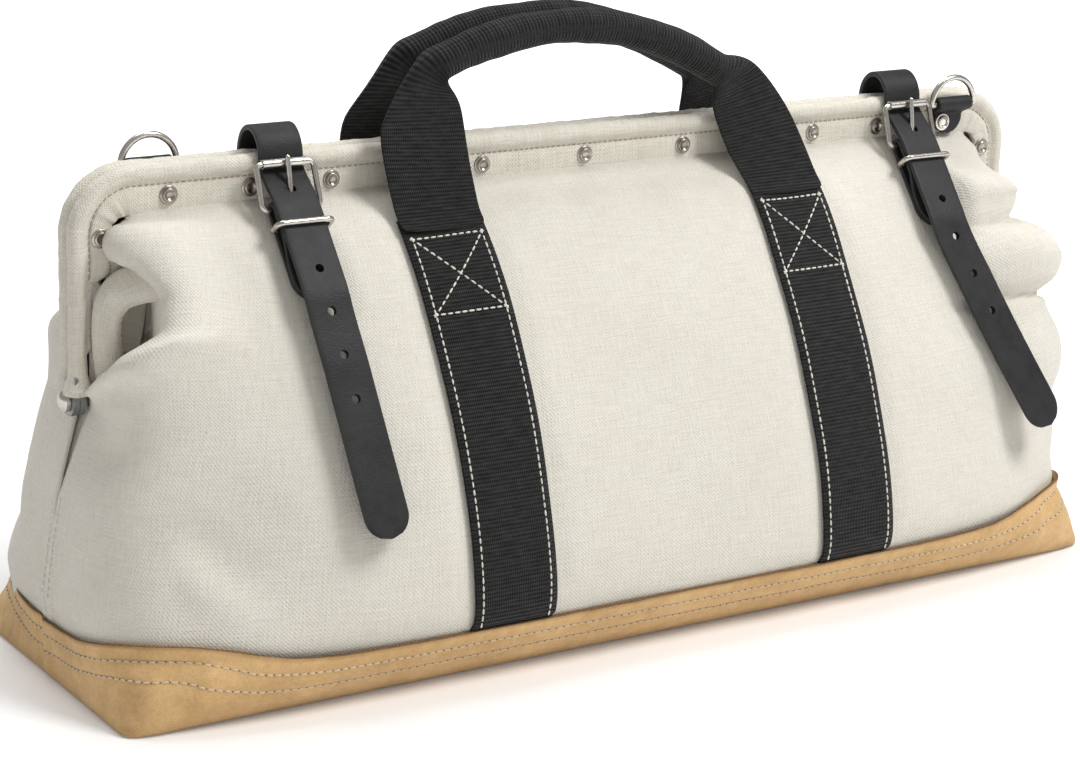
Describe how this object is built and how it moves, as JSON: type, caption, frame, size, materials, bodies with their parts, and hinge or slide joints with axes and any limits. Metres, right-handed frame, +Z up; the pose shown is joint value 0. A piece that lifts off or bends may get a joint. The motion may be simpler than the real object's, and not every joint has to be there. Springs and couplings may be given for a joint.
{
  "type": "tool bag",
  "caption": "Steel-framed canvas tool bag with a suede base, webbing handles with rolled grips, D-rings, and leather straps buckled over its hinged mouth.",
  "frame": {"origin": "middle of the flat base, on the floor it stands on", "axes": "+X along the bag towards the end that the straps are nearer, -Y towards the buckled front, +Z up"},
  "size_m": [0.6402, 0.2432, 0.3395],
  "materials": {
    "canvas": "heavy natural duck canvas",
    "suede": "napped tan suede",
    "webbing": "black ribbed webbing",
    "leather": "smooth dark leather",
    "nickel": "polished nickel",
    "steel": "dark drawn steel",
    "board": "fibreboard",
    "core": "cord core"
  },
  "bodies": {
    "bag": {"suede_base": "suede", "bottom_board": "board", "front_canvas_lower": "canvas", "back_canvas_lower": "canvas", "front_webbing_lower": "webbing", "back_webbing_lower": "webbing", "left_hinge_bolt": "nickel", "right_hinge_bolt": "nickel", "left_hinge_nut": "steel", "right_hinge_nut": "steel"},
    "front_frame": {"front_frame_rod": "steel", "front_rim_binding": "canvas", "front_rim_rivets": "nickel", "front_canvas_upper": "canvas", "front_webbing_upper": "webbing", "left_chape": "leather", "right_chape": "leather", "left_chape_rivet": "nickel", "right_chape_rivet": "nickel", "right_ring_tab": "leather", "right_ring_rivet": "nickel"},
    "back_frame": {"back_frame_rod": "steel", "back_rim_binding": "canvas", "back_rim_rivets": "nickel", "back_canvas_upper": "canvas", "back_webbing_upper": "webbing", "left_strap_anchor": "leather", "right_strap_anchor": "leather", "left_anchor_rivets": "nickel", "right_anchor_rivets": "nickel", "left_ring_tab": "leather", "left_ring_rivet": "nickel"},
    "front_handle": {"front_handle_webbing": "webbing", "front_handle_core": "core"},
    "back_handle": {"back_handle_webbing": "webbing", "back_handle_core": "core"},
    "left_strap": {"left_strap": "leather"},
    "left_buckle": {"left_buckle_frame": "nickel"},
    "left_roller": {"left_roller": "nickel"},
    "left_tongue": {"left_tongue": "nickel"},
    "left_keeper": {"left_keeper": "nickel"},
    "right_strap": {"right_strap": "leather"},
    "right_buckle": {"right_buckle_frame": "nickel"},
    "right_roller": {"right_roller": "nickel"},
    "right_tongue": {"right_tongue": "nickel"},
    "right_keeper": {"right_keeper": "nickel"},
    "right_ring": {"right_d_ring": "nickel"},
    "left_ring": {"left_d_ring": "nickel"}
  },
  "joints": [
    {"name": "front_frame_swing", "type": "hinge", "parent": "bag", "child": "front_frame", "pos_m": [0, 0, 0.148], "axis": [1, 0, 0], "range_deg": [0, 75], "deforming": ["front_canvas_upper", "front_webbing_upper"]},
    {"name": "back_frame_swing", "type": "hinge", "parent": "bag", "child": "back_frame", "pos_m": [0, 0, 0.148], "axis": [-1, 0, 0], "range_deg": [0, 75], "deforming": ["back_canvas_upper", "back_webbing_upper"]},
    {"name": "front_handle_swing", "type": "hinge", "parent": "front_frame", "child": "front_handle", "pos_m": [0, -0.03177, 0.2294], "axis": [-1, 0, 0], "range_deg": [-145, 0]},
    {"name": "back_handle_swing", "type": "hinge", "parent": "back_frame", "child": "back_handle", "pos_m": [0, 0.03177, 0.2294], "axis": [1, 0, 0], "range_deg": [-145, 0]},
    {"name": "left_strap_lift", "type": "hinge", "parent": "back_frame", "child": "left_strap", "pos_m": [-0.19, 0.01205, 0.265], "axis": [-1, 0, 0], "range_deg": [0, 110], "deforming": ["left_strap"]},
    {"name": "left_buckle_tilt", "type": "hinge", "parent": "front_frame", "child": "left_buckle", "pos_m": [-0.19, -0.02527, 0.24196], "axis": [1, 0, 0], "range_deg": [0, 40]},
    {"name": "left_roller_spin", "type": "hinge", "parent": "left_buckle", "child": "left_roller", "pos_m": [-0.19, -0.01635, 0.26424], "axis": [1, 0, 0], "continuous": true},
    {"name": "left_tongue_tilt", "type": "hinge", "parent": "left_buckle", "child": "left_tongue", "pos_m": [-0.19, -0.02527, 0.24196], "axis": [1, 0, 0], "range_deg": [0, 50]},
    {"name": "left_keeper_slide", "type": "slide", "parent": "front_frame", "child": "left_keeper", "axis": [0, -0.6378, -0.7702], "range_m": [0, 0.005]},
    {"name": "right_strap_lift", "type": "hinge", "parent": "back_frame", "child": "right_strap", "pos_m": [0.22, 0.01205, 0.265], "axis": [-1, 0, 0], "range_deg": [0, 110], "deforming": ["right_strap"]},
    {"name": "right_buckle_tilt", "type": "hinge", "parent": "front_frame", "child": "right_buckle", "pos_m": [0.22, -0.02403, 0.24191], "axis": [1, 0, 0], "range_deg": [0, 40]},
    {"name": "right_roller_spin", "type": "hinge", "parent": "right_buckle", "child": "right_roller", "pos_m": [0.22, -0.01635, 0.26465], "axis": [1, 0, 0], "continuous": true},
    {"name": "right_tongue_tilt", "type": "hinge", "parent": "right_buckle", "child": "right_tongue", "pos_m": [0.22, -0.02403, 0.24191], "axis": [1, 0, 0], "range_deg": [0, 50]},
    {"name": "right_keeper_slide", "type": "slide", "parent": "front_frame", "child": "right_keeper", "axis": [0, -0.6138, -0.7895], "range_m": [0, 0.005]},
    {"name": "right_ring_swing", "type": "hinge", "parent": "front_frame", "child": "right_ring", "pos_m": [0.256, -0.0154, 0.2622], "axis": [1, 0, 0], "range_deg": [0, 140]},
    {"name": "left_ring_swing", "type": "hinge", "parent": "back_frame", "child": "left_ring", "pos_m": [-0.251, 0.0154, 0.2622], "axis": [-1, 0, 0], "range_deg": [0, 140]}
  ]
}
